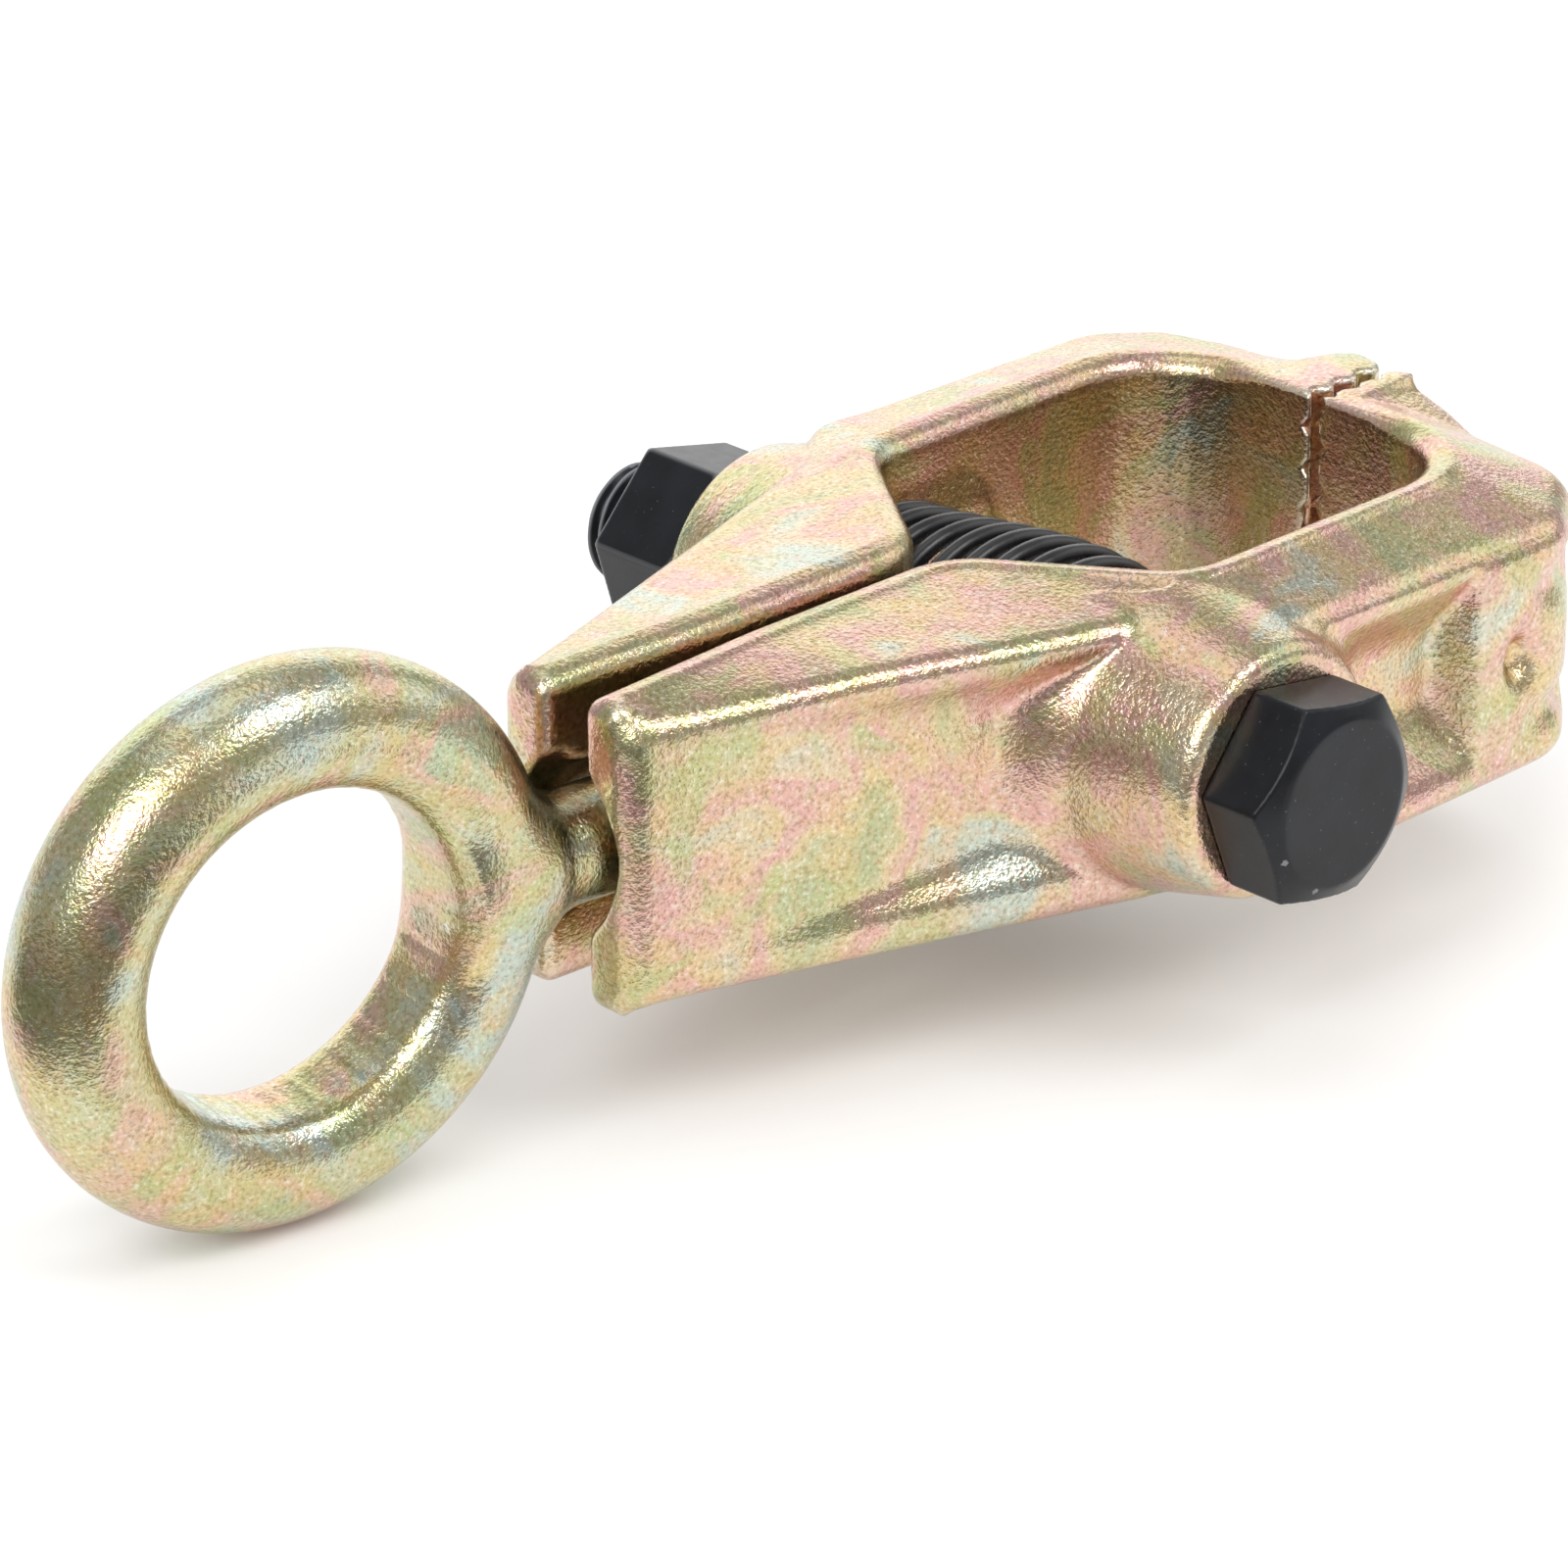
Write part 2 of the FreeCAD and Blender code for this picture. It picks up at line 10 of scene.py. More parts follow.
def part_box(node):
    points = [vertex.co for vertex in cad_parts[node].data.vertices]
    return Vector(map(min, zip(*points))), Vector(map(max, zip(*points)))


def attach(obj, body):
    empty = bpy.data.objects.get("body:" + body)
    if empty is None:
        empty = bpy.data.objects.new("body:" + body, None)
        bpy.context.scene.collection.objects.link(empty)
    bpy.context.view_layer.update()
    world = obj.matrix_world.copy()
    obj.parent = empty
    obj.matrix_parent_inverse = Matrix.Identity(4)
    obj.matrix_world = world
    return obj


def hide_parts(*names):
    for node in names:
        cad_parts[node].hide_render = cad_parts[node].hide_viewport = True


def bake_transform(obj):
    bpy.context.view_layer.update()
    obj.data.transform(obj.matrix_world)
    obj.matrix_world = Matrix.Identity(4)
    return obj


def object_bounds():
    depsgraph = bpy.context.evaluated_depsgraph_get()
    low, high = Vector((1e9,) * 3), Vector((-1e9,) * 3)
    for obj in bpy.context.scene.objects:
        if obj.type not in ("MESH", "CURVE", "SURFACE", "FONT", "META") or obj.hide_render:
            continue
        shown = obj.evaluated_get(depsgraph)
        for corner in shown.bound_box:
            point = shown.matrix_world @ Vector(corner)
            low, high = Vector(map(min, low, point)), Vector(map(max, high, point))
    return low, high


# Self-tightening pull clamp: two forged jaws on a cross bolt, a spring between
# them, and a ring eye between their tails.  The forged pieces and the hexagons
# are distance fields in millimetres, turned into meshes in the frame's metres.

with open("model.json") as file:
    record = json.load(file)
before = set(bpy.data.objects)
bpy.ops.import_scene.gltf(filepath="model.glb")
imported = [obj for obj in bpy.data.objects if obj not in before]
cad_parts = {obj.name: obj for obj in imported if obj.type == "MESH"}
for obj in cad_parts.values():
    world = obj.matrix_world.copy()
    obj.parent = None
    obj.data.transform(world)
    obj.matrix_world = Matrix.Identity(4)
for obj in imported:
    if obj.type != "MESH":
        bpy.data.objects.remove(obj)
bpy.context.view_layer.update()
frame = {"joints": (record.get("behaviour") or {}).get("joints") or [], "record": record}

MM = 0.001
JOINTS = {joint["name"]: joint for joint in frame["joints"]}
MOUNTS = {mount["name"]: mount for mount in frame["record"]["mounts"]}
BOLT_CENTRE = np.array(JOINTS["bolt_turn"]["pos_m"])
JAW_LOW, JAW_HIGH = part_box("front_jaw")
JAW_CENTRE = np.array((BOLT_CENTRE[0], BOLT_CENTRE[1], (JAW_LOW.z + JAW_HIGH.z) / 2))


# ---------------------------------------------------------------- distance fields

def round_and(a, b, radius):
    """The part inside both fields, with the edge between them rounded."""
    corner = np.hypot(np.maximum(a + radius, 0), np.maximum(b + radius, 0))
    return np.minimum(np.maximum(a, b), -radius) + corner


def round_or(a, b, radius):
    """The part inside either field, with a fillet where they meet."""
    return -round_and(-a, -b, radius)


def soft_min(a, b, blend):
    """The lower of two values, eased over where they cross."""
    near = np.maximum(blend - np.abs(a - b), 0) / blend
    return np.minimum(a, b) - near * near * blend / 4


def step(value, start, end):
    """0 before start, 1 after end, and smooth between."""
    t = np.clip((value - start) / (end - start), 0, 1)
    return t * t * (3 - 2 * t)


ARC_STEPS = 9


def rounded(corners):
    """Points of an outline whose corners (x, y, radius) become arcs."""
    points = []
    for i, (x, y, radius) in enumerate(corners):
        here = np.array((x, y))
        back = np.array(corners[i - 1][:2]) - here
        ahead = np.array(corners[(i + 1) % len(corners)][:2]) - here
        back, ahead = back / np.hypot(*back), ahead / np.hypot(*ahead)
        half = math.acos(np.clip(back @ ahead, -1, 1)) / 2
        middle = (back + ahead) / np.hypot(*(back + ahead))
        centre = here + middle * radius / math.sin(half)
        reach = radius / math.tan(half)
        for t in np.linspace(0, 1, ARC_STEPS):
            spoke = here + (back * (1 - t) + ahead * t) * reach - centre
            points.append(centre + spoke / np.hypot(*spoke) * radius)
    return np.array(points)


def line_distance(x, y, points):
    """Distance to a run of straight lines."""
    nearest = np.full(np.broadcast(x, y).shape, np.inf)
    for (ax, ay), (bx, by) in zip(points[:-1], points[1:]):
        dx, dy = bx - ax, by - ay
        t = np.clip(((x - ax) * dx + (y - ay) * dy) / (dx * dx + dy * dy), 0, 1)
        nearest = np.minimum(nearest, np.hypot(x - ax - t * dx, y - ay - t * dy))
    return nearest


def outline_distance(x, y, points):
    """Distance to a closed outline, negative inside it."""
    closed = np.vstack((points, points[:1]))
    inside = np.zeros(np.broadcast(x, y).shape, bool)
    for (ax, ay), (bx, by) in zip(closed[:-1], closed[1:]):
        if ay != by:
            beside = (ay > y) != (by > y)
            inside ^= beside & (x < (bx - ax) * (y - ay) / (by - ay) + ax)
    nearest = line_distance(x, y, closed)
    return np.where(inside, -nearest, nearest)


def field_surface(field, low, high, voxel):
    """Points and quads of the surface where field(x, y, z) is zero."""
    axes = [np.arange(a - 2 * voxel, b + 2 * voxel, voxel) for a, b in zip(low, high)]
    band = 3 * voxel
    values = np.clip(field(*np.meshgrid(*axes, indexing="ij", sparse=True)), -band, band)
    grid = openvdb.FloatGrid(band)
    grid.copyFromArray(np.ascontiguousarray(values, np.float32))
    points, quads = grid.convertToQuads(isovalue=0.0)
    return points * voxel + [axis[0] for axis in axes], quads


def new_piece(name, points, faces):
    """A smooth-shaded object with its faces outward, from points in metres."""
    points = np.asarray(points, float)
    faces = np.asarray(faces)
    a, b, c = (points[faces[:, i]] for i in (0, 1, 2))
    if np.einsum("ij,ij->", a - points.mean(0), np.cross(b - a, c - a)) < 0:
        faces = faces[:, ::-1]
    mesh = bpy.data.meshes.new(name)
    mesh.from_pydata(points.tolist(), [], faces.tolist())
    mesh.shade_smooth()
    piece = bpy.data.objects.new(name, mesh)
    bpy.context.scene.collection.objects.link(piece)
    return piece


def tube_quads(rings, steps):
    """Quads between rings of points, steps points to a ring."""
    here = np.arange(steps)
    ahead = (here + 1) % steps
    quads = []
    for low in range(0, (rings - 1) * steps, steps):
        quads.append(np.stack((here, ahead, ahead + steps, here + steps), 1) + low)
    return np.vstack(quads)


# ---------------------------------------------------------------- jaws

# Outline of a jaw: x from the bolt towards the tips and y outwards from the
# mid-plane between the jaws, each corner with its radius.
JAW_OUTER = [
    (-91.5, 13.5, 5.5),
    (-5.0, 39.7, 12.0),
    (8.0, 51.0, 10.0),
    (69.0, 51.0, 12.0),
    (85.0, 38.0, 14.0),
    (87.5, 7.0, 3.0),
    (84.5, 0.75, 0.8),
]
JAW_INNER = [
    (67.5, 0.75, 0.5),
    (67.5, 32.0, 17.0),
    (4.1, 32.0, 10.0),
    (-16.7, 2.1, 15.0),
    (-58.0, 2.1, 20.0),
    (-91.5, 4.0, 2.5),
]
JAW_HALF = (JAW_HIGH.z - JAW_LOW.z) / 2 / MM
JAW_VOXEL = 0.7
EDGE_RADIUS = 3.2
TIP_EDGE_RADIUS = 0.9

# Where the jaw becomes its toothed tip: along x, and coming in towards y = 0.
TIP_ALONG = (60, 68)
TIP_ACROSS = (8, 20)

# How far the top and bottom fall from the crest to the outer edge: (x, fall).
DROP_ABOVE = ((-90, 3.2), (-54, 1.8), (-14, 2.8), (8, 5.6), (60, 7.4), (90, 7.4))
DROP_BELOW = ((-90, 2.6), (-46, 1.6), (-9, 0.8), (20, 3.0), (90, 4.0))
TIP_DROP_LOSS_ABOVE = 0.3
TIP_DROP_LOSS_BELOW = 0.8

# The raised line along the inner edge, which fades out before the tip.
CREST_INSET = 4.0
CREST_HEIGHT = 0.4
CREST_SPREAD = 0.8
CREST_FADE = (56, 66)

# The tail's outer face, and the panel in it: where each side starts, and how
# far it runs for each millimetre of depth.
TAIL_FACE_X, TAIL_FACE_OUT, TAIL_FACE_SLOPE = -32, 31.5, 0.3025
PANEL_START, PANEL_DEEPENING = -75, 0.1
PANEL_BOTTOM, PANEL_BOTTOM_RUN = -16.6, 1.3
PANEL_TOP, PANEL_TOP_RUN = 18.6, 1.4
PANEL_BOSS_END, PANEL_BOSS_RUN = -4.0, 1.5

# The arm's outer face, its pocket, and the channels round its corner.
ARM_FACE = 51.0
POCKET_DEPTH = 7.3
POCKET_MIDDLE, POCKET_HALF, POCKET_RUN = -0.6, 16.4, 1.35
POCKET_END, POCKET_END_RUN = 49.5, 0.5
CHANNEL_DEPTH = 2.0
CHANNELS = ((8.5, 3.4), (-12.0, 3.0))
CORNER_LEAN = 1.3

# The boss: a cone whose root in the jaw lies deeper towards the tail.
BOSS_FACE = 55.5
BOSS_RADIUS = 19.5
BOSS_TAPER = 0.2326
BOSS_EDGE_RADIUS = 2.2
BOSS_ROOT, BOSS_ROOT_DROP = 34.0, 7.0
BOSS_FILLET, BOSS_FILLET_LOSS = 7.0, 6.4

# Crossing V grooves on the tip: pitch and where one groove lies, each way.
TIP_PLANE = 0.75
TOOTH_DEPTH = 1.6
TOOTH_HALF_WIDTH = 2.1
TOOTH_PITCH_X, TOOTH_AT_X = 5.2, 69.8
TOOTH_PITCH_Z, TOOTH_AT_Z = 7.0, 22.9

# The hollow for the eye's shank and head, and its flared mouth: (x, radius).
HOLLOW = ((-95, 9.9), (-91.5, 9.9), (-75, 10.6), (-61, 16.5), (-38, 18.3))
HOLLOW_END = -38
MOUTH = ((-91.5, 17.0), (-87, 16.0), (-79, 9.0))
MOUTH_CENTRE = -6.6

# The bolt's hole, the spring's seat and the blind dimple near the corner.
HOLE_RADIUS = 11.2
SEAT_RADIUS, SEAT_FLOOR = 21.5, 29.0
DIMPLE_X, DIMPLE_Z = 59.4, -2.0
DIMPLE_FLOOR, DIMPLE_FLOOR_RADIUS = 48.0, 1.6
DIMPLE_FLARE, DIMPLE_TALLNESS = 0.75, 1.3


# A field that slopes more steeply than a distance is multiplied by a factor
# just under 1, so that roundings keep their size.

def table(x, rows):
    """The second column of rows, read off between them at x."""
    return np.interp(x, *zip(*rows))


def tip_share(x, out):
    """1 at the toothed tip and 0 on the rest of the jaw."""
    return step(x, *TIP_ALONG) * (1 - step(out, *TIP_ACROSS))


def tail_face(x):
    """How far out the tail's outer face is."""
    return TAIL_FACE_OUT + TAIL_FACE_SLOPE * (x - TAIL_FACE_X)


def jaw_blank(x, out, z):
    """The forging's outside, with top and bottom falling from the inner crest."""
    outline = rounded(JAW_OUTER + JAW_INNER)
    split = ARC_STEPS * len(JAW_OUTER)
    flat = outline_distance(x, out, outline)
    from_inner = line_distance(x, out, outline[split - 1:])
    from_outer = line_distance(x, out, outline[:split])
    past_crest = np.maximum(from_inner - CREST_INSET, 0)
    share = past_crest / (past_crest + from_outer + 0.01)
    kept = 1 - np.where(z > 0, TIP_DROP_LOSS_ABOVE, TIP_DROP_LOSS_BELOW) * tip_share(x, out)
    drop = np.where(z > 0, table(x, DROP_ABOVE), table(x, DROP_BELOW)) * kept
    crest = CREST_HEIGHT * np.exp(-((from_inner - CREST_INSET - 0.5) / CREST_SPREAD) ** 2)
    crest = crest * (1 - step(x, *CREST_FADE))
    height = JAW_HALF - CREST_HEIGHT - drop * share + crest
    radius = EDGE_RADIUS + (TIP_EDGE_RADIUS - EDGE_RADIUS) * tip_share(x, out)
    return round_and(flat, np.abs(z) - height, radius)


def tail_panel(x, out, z):
    """Outside the hollow along the tail: its floor deepens towards the boss."""
    floor = PANEL_DEEPENING * (x - PANEL_START)
    below = (z - PANEL_BOTTOM) / PANEL_BOTTOM_RUN
    above = (PANEL_TOP - z) / PANEL_TOP_RUN
    boss_side = (PANEL_BOSS_END - x) / PANEL_BOSS_RUN
    depth = soft_min(soft_min(floor, below, 1.6), soft_min(above, boss_side, 4.0), 2.0)
    return (out - tail_face(x) + depth) * 0.93


def arm_pocket(x, out, z):
    """Outside the hollow in the arm between the boss and the corner."""
    low_high = (POCKET_HALF - np.abs(z - POCKET_MIDDLE)) / POCKET_RUN
    corner_side = (POCKET_END - x) / POCKET_END_RUN
    depth = soft_min(POCKET_DEPTH, soft_min(low_high, corner_side, 2.0), 2.5)
    return (out - ARM_FACE + depth) * 0.8


def cheek_channels(x, out, z):
    """Depth of the two shallow channels round the corner of the arm, and of its lean."""
    depth = 0
    for level, half_width in CHANNELS:
        depth = depth + CHANNEL_DEPTH * np.exp(-((z - level) / half_width) ** 2)
    end_face = step(x, 76, 80) * step(out, 12, 26)
    front_face = step(x, 58, 68) * step(out, 42, 46)
    lean = CORNER_LEAN * step(-z, -14, 4) * end_face
    return depth * np.maximum(end_face, front_face) + lean


def jaw_boss(x, out, z):
    """The conical boss that the bolt's head or the nut bears on."""
    side = (np.hypot(x, z) - BOSS_RADIUS - (BOSS_FACE - out) * BOSS_TAPER) * 0.97
    root = BOSS_ROOT - BOSS_ROOT_DROP * step(-x, 2, 14)
    return np.maximum(round_and(side, out - BOSS_FACE, BOSS_EDGE_RADIUS), root - out)


def tooth_depth(x, z):
    """Depth of the crossing V grooves on the tip face."""
    half_x, half_z = TOOTH_PITCH_X / 2, TOOTH_PITCH_Z / 2
    from_x = np.abs((x - TOOTH_AT_X + half_x) % TOOTH_PITCH_X - half_x)
    from_z = np.abs((z - TOOTH_AT_Z + half_z) % TOOTH_PITCH_Z - half_z)
    return TOOTH_DEPTH * np.maximum(1 - np.minimum(from_x, from_z) / TOOTH_HALF_WIDTH, 0)


def jaw_cavity(x, out, z):
    """The hollow inside the tail for the eye's shank and wedge head."""
    hollow = np.maximum(np.hypot(out, z) - table(x, HOLLOW), x - HOLLOW_END)
    mouth = (np.hypot(out - MOUTH_CENTRE, z) - table(x, MOUTH)) * 0.75
    return round_or(hollow, mouth, 1.5)


def bolt_passage(x, out, z):
    """The bolt's hole and the spring's seat."""
    across = np.hypot(x, z)
    return np.minimum(across - HOLE_RADIUS, np.maximum(across - SEAT_RADIUS, out - SEAT_FLOOR))


def dimple(x, out, z):
    """The blind flared dimple near the corner of the arm."""
    across = np.hypot(x - DIMPLE_X, (z - DIMPLE_Z) / DIMPLE_TALLNESS)
    radius = DIMPLE_FLOOR_RADIUS + DIMPLE_FLARE * (out - DIMPLE_FLOOR)
    return np.maximum((across - radius) * 0.8, DIMPLE_FLOOR - out)


def jaw_field(x, out, z):
    """The whole jaw, outwards from the mid-plane between the jaws."""
    body = jaw_blank(x, out, z)
    body = np.where(x < 0, round_and(body, tail_panel(x, out, z), 1.0), body)
    body = round_and(body, arm_pocket(x, out, z), 1.6)
    body = body + cheek_channels(x, out, z)
    fillet = BOSS_FILLET - BOSS_FILLET_LOSS * step(np.abs(z), 9, 20)
    body = round_or(body, jaw_boss(x, out, z), fillet)
    body = np.maximum(body, np.abs(z) - JAW_HALF + 0.05)
    teeth = (TIP_PLANE + tooth_depth(x, z) - out) * 0.75
    body = np.where(x > TIP_ALONG[0], np.maximum(body, teeth), body)
    body = round_and(body, -jaw_cavity(x, out, z), 1.0)
    body = round_and(body, -bolt_passage(x, out, z), 0.9)
    return round_and(body, -dimple(x, out, z), 1.6)


def make_jaws():
    """Both jaws: the same forging, turned half a turn about the long axis for the rear."""
    points, quads = field_surface(jaw_field, (-92, 0, -26), (89, 57, 26), JAW_VOXEL)
    jaws = []
    for name, turned in (("front_jaw_forging", (1, -1, 1)), ("rear_jaw_forging", (1, 1, -1))):
        jaws.append(new_piece(name, points * turned * MM + JAW_CENTRE, quads))
    return jaws


# ---------------------------------------------------------------- pull eye

EYE_AXIS = -Vector(JOINTS["eye_pull"]["axis"]).normalized()
RING_NORMAL = Vector(MOUNTS["pull_eye"]["axis"]).normalized()
EYE_BORE = MOUNTS["pull_eye"]["dims"]["r_mm"]
RING_RADIUS = 33.8
BAR_RADIUS = 10.1
RING_OFFSET = (0.2, -0.9)
BORE_STREAKS = 0.08
EYE_VOXEL = 0.6

# The shank and its wedge head, from inside the ring to the far end: (x, radius).
SHANK = ((30, 9.4), (42, 9.2), (45, 8.6), (70.4, 8.6), (84.4, 12.0), (92.4, 12.0), (94.4, 9.8))
SHANK_START, SHANK_END = SHANK[0][0], SHANK[-1][0]
NECK_FILLET = 6.0
BORE_EDGE_RADIUS = 1.2


def eye_field(x, y, z):
    """The eye: x along the shank, y along the bore's axis, zero at the mount in the bore."""
    across = np.hypot(x - RING_OFFSET[0], z - RING_OFFSET[1])
    ring = np.hypot(across - RING_RADIUS, y) - BAR_RADIUS
    shank = np.hypot(y, z) - table(x, SHANK)
    shank = np.maximum(shank, np.maximum(SHANK_START - x, x - SHANK_END))
    angle = np.arctan2(z - RING_OFFSET[1], x - RING_OFFSET[0])
    streaks = np.sin(37 * angle) + 0.7 * np.sin(61 * angle + 1.3) + 0.5 * np.sin(83 * angle + 2)
    bore = EYE_BORE + BORE_STREAKS * streaks - across
    return round_and(round_or(ring, shank, NECK_FILLET), bore, BORE_EDGE_RADIUS)


def make_eye():
    """The ring eye, turned from its own axes to where it sits between the tails."""
    points, quads = field_surface(eye_field, (-44, -15, -44), (95, 15, 44), EYE_VOXEL)
    turn = np.array((EYE_AXIS, RING_NORMAL, EYE_AXIS.cross(RING_NORMAL)))
    return new_piece("pull_eye_forging", points @ turn * MM + MOUNTS["pull_eye"]["pos_m"], quads)


# ---------------------------------------------------------------- bolt, nut and spring

HALF_FLATS = 15.0
THREAD_RADIUS = 10.0
THREAD_PITCH = 2.5
THREAD_DEPTH = 1.35
THREAD_START = 34.0
THREAD_RUN_OUT = 4.0
END_CHAMFER = 2.0
HEAD_FACE = -68.0
HEAD_SEAT = -55.5
BOLT_END = 84.5
NUT_SEAT = 55.8
NUT_FACE = 73.8
NUT_BORE_RADIUS = 10.15
NUT_LEAD_IN = 1.4
HEAD_CHAMFER_RADIUS = 12.9
NUT_CHAMFER_RADIUS = 13.4
HEX_VOXEL = 0.35
HEAD_TURN = math.radians(111.3)
NUT_TURN = math.radians(107.1)
ROUND_STEPS = 72


def hexagon(x, z, turn):
    """Distance to a hexagon that has a corner at the angle turn."""
    field = -np.inf
    for k in range(6):
        angle = turn + math.pi / 6 + k * math.pi / 3
        side = x * math.cos(angle) + z * math.sin(angle) - HALF_FLATS
        field = side if k == 0 else round_and(field, side, 0.5)
    return field


def turned_corners(across, depth, start):
    """The cone that a hexagon's corners are turned down to, depth below its face."""
    return (across - start - depth * 1.7) * 0.5


def head_field(x, y, z):
    """The bolt's head, y along the bolt."""
    body = hexagon(x, z, HEAD_TURN)
    body = round_and(body, turned_corners(np.hypot(x, z), y - HEAD_FACE, HEAD_CHAMFER_RADIUS), 0.2)
    body = round_and(body, HEAD_FACE - y, 0.25)
    return round_and(body, y - HEAD_SEAT, 0.4)


def nut_field(x, y, z):
    """The nut, turned on its jaw side."""
    across = np.hypot(x, z)
    body = hexagon(x, z, NUT_TURN)
    body = round_and(body, turned_corners(across, y - NUT_SEAT, NUT_CHAMFER_RADIUS), 0.35)
    body = round_and(body, NUT_SEAT - y, 0.4)
    body = round_and(body, y - NUT_FACE, 0.5)
    lead_in = np.maximum(0, NUT_LEAD_IN - np.minimum(y - NUT_SEAT, NUT_FACE - y))
    return round_and(body, NUT_BORE_RADIUS + lead_in - across, 0.3)


def shank_radius(y, angles):
    """The bolt's plain shank, its rolled thread and the turned thread end."""
    phase = (y / THREAD_PITCH + angles / (2 * math.pi)) % 1.0
    flank = np.clip(np.abs(phase - 0.5) * 2.5 - 0.12, 0, 1)
    cut = THREAD_DEPTH * flank * step(y, THREAD_START, THREAD_START + THREAD_RUN_OUT)
    end = max(0.0, y - (BOLT_END - END_CHAMFER))
    return np.minimum(THREAD_RADIUS - cut, THREAD_RADIUS - end)


def make_shank():
    """Points and quads of the shank, with rings of shrinking radius closing its end."""
    angles = np.arange(ROUND_STEPS) * 2 * math.pi / ROUND_STEPS
    rows = [HEAD_SEAT - 1, -20.0, 10.0, *np.arange(THREAD_START, BOLT_END, 0.2), BOLT_END]
    rings = [(y, shank_radius(y, angles)) for y in rows]
    rings.insert(0, (rows[0], np.full(ROUND_STEPS, 0.4)))
    rings += [(BOLT_END, np.full(ROUND_STEPS, r)) for r in np.linspace(7.8, 0.05, 12)]
    points = [
        (r * math.cos(a), y, r * math.sin(a))
        for y, radii in rings for r, a in zip(radii, angles)
    ]
    return np.array(points), tube_quads(len(rings), ROUND_STEPS)


def make_bolt():
    """The bolt: its head, and the shank that starts just inside it."""
    head_points, head_quads = field_surface(head_field, (-18, -69, -18), (18, -55, 18), HEX_VOXEL)
    points, quads = make_shank()
    bolt_quads = np.vstack((head_quads, quads + len(head_points)))
    return new_piece("hex_bolt", np.vstack((head_points, points)) * MM + BOLT_CENTRE, bolt_quads)


def make_nut():
    """The nut on the bolt's thread, against the rear jaw's boss."""
    points, quads = field_surface(nut_field, (-18, 55, -18), (18, 75, 18), HEX_VOXEL)
    return new_piece("hex_nut", points * MM + BOLT_CENTRE, quads)


COIL_RADIUS = 18.2
WIRE_RADIUS = 1.45
WIRE_END = (0.1, 0.8, 1.25)
COIL_TURNS = 11.8
CLOSED_TURNS = 1.4
CLOSED_PACE = 0.58
COIL_START = 0.2
BOW_UP = 3.0
BOW_ACROSS = 0.8
COIL_STEPS = 64
WIRE_STEPS = 16


def make_spring():
    """The compression spring: closed end turns, and bowed up a little off the bolt."""
    low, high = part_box("jaw_spring")
    start = low.y / MM + WIRE_RADIUS
    length = high.y / MM - WIRE_RADIUS - start
    turns = np.linspace(0, COIL_TURNS, int(COIL_TURNS * COIL_STEPS) + 1)
    from_end = np.minimum(turns, COIL_TURNS - turns)
    pace = CLOSED_PACE + (1 - CLOSED_PACE) * step(from_end, CLOSED_TURNS - 0.3, CLOSED_TURNS + 0.3)
    climb = np.concatenate(((0,), np.cumsum((pace[1:] + pace[:-1]) / 2)))
    climb /= climb[-1]
    bow = np.sin(math.pi * (1 - climb) ** 1.6)
    angles = (turns + COIL_START) * 2 * math.pi
    centres = np.stack((
        COIL_RADIUS * np.cos(angles) + BOW_ACROSS * bow,
        start + length * climb,
        COIL_RADIUS * np.sin(angles) + BOW_UP * bow,
    ), 1)
    centres += (BOLT_CENTRE[0] / MM, 0, BOLT_CENTRE[2] / MM)
    ahead = np.gradient(centres, axis=0)
    ahead /= np.linalg.norm(ahead, axis=1)[:, None]
    spoke = np.stack((np.cos(angles), np.zeros_like(angles), np.sin(angles)), 1)
    side = np.cross(ahead, spoke)
    around = np.arange(WIRE_STEPS) * 2 * math.pi / WIRE_STEPS
    stops = [(0, radius) for radius in WIRE_END]
    stops += [(i, WIRE_RADIUS) for i in range(len(turns))]
    stops += [(len(turns) - 1, radius) for radius in reversed(WIRE_END)]
    across, up = np.cos(around), np.sin(around)
    rings = [
        centres[i] + radius * (np.outer(across, spoke[i]) + np.outer(up, side[i]))
        for i, radius in stops
    ]
    return new_piece("coil_spring", np.vstack(rings) * MM, tube_quads(len(rings), WIRE_STEPS))


# ---------------------------------------------------------------- materials

